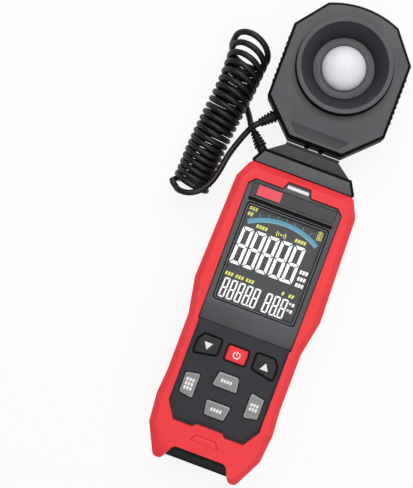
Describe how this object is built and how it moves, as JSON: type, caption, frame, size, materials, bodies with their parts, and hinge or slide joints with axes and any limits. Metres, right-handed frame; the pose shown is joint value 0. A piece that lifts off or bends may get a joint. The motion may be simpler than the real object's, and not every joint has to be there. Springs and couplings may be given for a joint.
{
  "type": "handheld light meter",
  "caption": "Handheld light meter with a display, keys in a rubber bumper, a plug-in sensor head with a white dome and a curly cord that joins head and body.",
  "frame": {"origin": "on the floor under the middle of the meter, which lies on its back (cord left out)", "axes": "+X to the right of the face, +Y from the body's foot to the sensor head, +Z out of the face"},
  "size_m": [0.0893, 0.2284, 0.033],
  "materials": {
    "red_rubber": "satin",
    "keypad_plastic": "matte",
    "black_plastic": "satin",
    "dark_grey_plastic": "matte",
    "bright_steel": "bright",
    "battery_sleeve": "printed sleeve",
    "display_window": "gloss",
    "display_glass": "gloss",
    "white_diffuser": "satin",
    "circuit_board": "satin",
    "black_rubber": "matte",
    "grey_key": "matte",
    "black_key": "matte",
    "green_filter": "gloss",
    "cord_sheath": "gloss"
  },
  "bodies": {
    "body": {"bumper": "red_rubber", "front_shell": "keypad_plastic", "rear_shell": "black_plastic", "case_screw_1": "bright_steel", "case_screw_2": "bright_steel", "case_screw_3": "bright_steel", "case_screw_4": "bright_steel", "pcb_screw_1": "bright_steel", "pcb_screw_2": "bright_steel", "pcb_screw_3": "bright_steel", "pcb_screw_4": "bright_steel", "battery_cell_left": "battery_sleeve", "battery_cell_middle": "battery_sleeve", "battery_cell_right": "battery_sleeve", "battery_contacts_lower": "bright_steel", "battery_contacts_upper": "bright_steel", "display_bezel": "dark_grey_plastic", "display_lens": "display_window", "label_plate": "dark_grey_plastic", "light_window": "white_diffuser", "lcd_module": "display_glass", "lcd_backlight": "white_diffuser", "main_pcb": "circuit_board", "key_mat": "black_rubber", "top_collar": "dark_grey_plastic", "dock_plate": "dark_grey_plastic", "body_strain_relief": "black_rubber", "cord_curl": "cord_sheath", "cord_body_run": "cord_sheath", "cord_head_run": "cord_sheath"},
    "door": {"battery_door": "black_plastic"},
    "power": {"power_key": "red_rubber"},
    "down": {"down_key": "black_key"},
    "up": {"up_key": "black_key"},
    "hold": {"hold_key": "grey_key"},
    "mode": {"mode_key": "grey_key"},
    "max_min": {"max_min_key": "grey_key"},
    "unit": {"unit_key": "grey_key"},
    "head": {"head_rear_shell": "black_plastic", "head_front_shell": "dark_grey_plastic", "head_screw_1": "bright_steel", "head_screw_2": "bright_steel", "head_screw_3": "bright_steel", "head_screw_4": "bright_steel", "retaining_ring": "dark_grey_plastic", "diffuser_dome": "white_diffuser", "colour_filter": "green_filter", "photodiode": "black_plastic", "sensor_pcb": "circuit_board", "dock_tongue": "black_plastic", "head_strain_relief": "black_rubber"}
  },
  "joints": [
    {"name": "head_slide", "type": "slide", "parent": "body", "child": "head", "axis": [0, 1, 0], "range_m": [0, 0.012]},
    {"name": "door_hinge", "type": "hinge", "parent": "body", "child": "door", "pos_m": [0, -0.04715, 0.00155], "axis": [1, 0, 0], "range_deg": [0, 75]},
    {"name": "power_press", "type": "slide", "parent": "body", "child": "power", "axis": [0, 0, -1], "range_m": [0, 0.0008], "stiffness_N_per_m": 1500, "springref_m": -0.0003},
    {"name": "down_press", "type": "slide", "parent": "body", "child": "down", "axis": [0, 0, -1], "range_m": [0, 0.0008], "stiffness_N_per_m": 1500, "springref_m": -0.0003},
    {"name": "up_press", "type": "slide", "parent": "body", "child": "up", "axis": [0, 0, -1], "range_m": [0, 0.0008], "stiffness_N_per_m": 1500, "springref_m": -0.0003},
    {"name": "hold_press", "type": "slide", "parent": "body", "child": "hold", "axis": [0, 0, -1], "range_m": [0, 0.0008], "stiffness_N_per_m": 1500, "springref_m": -0.0003},
    {"name": "mode_press", "type": "slide", "parent": "body", "child": "mode", "axis": [0, 0, -1], "range_m": [0, 0.0008], "stiffness_N_per_m": 1500, "springref_m": -0.0003},
    {"name": "max_min_press", "type": "slide", "parent": "body", "child": "max_min", "axis": [0, 0, -1], "range_m": [0, 0.0008], "stiffness_N_per_m": 1500, "springref_m": -0.0003},
    {"name": "unit_press", "type": "slide", "parent": "body", "child": "unit", "axis": [0, 0, -1], "range_m": [0, 0.0008], "stiffness_N_per_m": 1500, "springref_m": -0.0003}
  ]
}
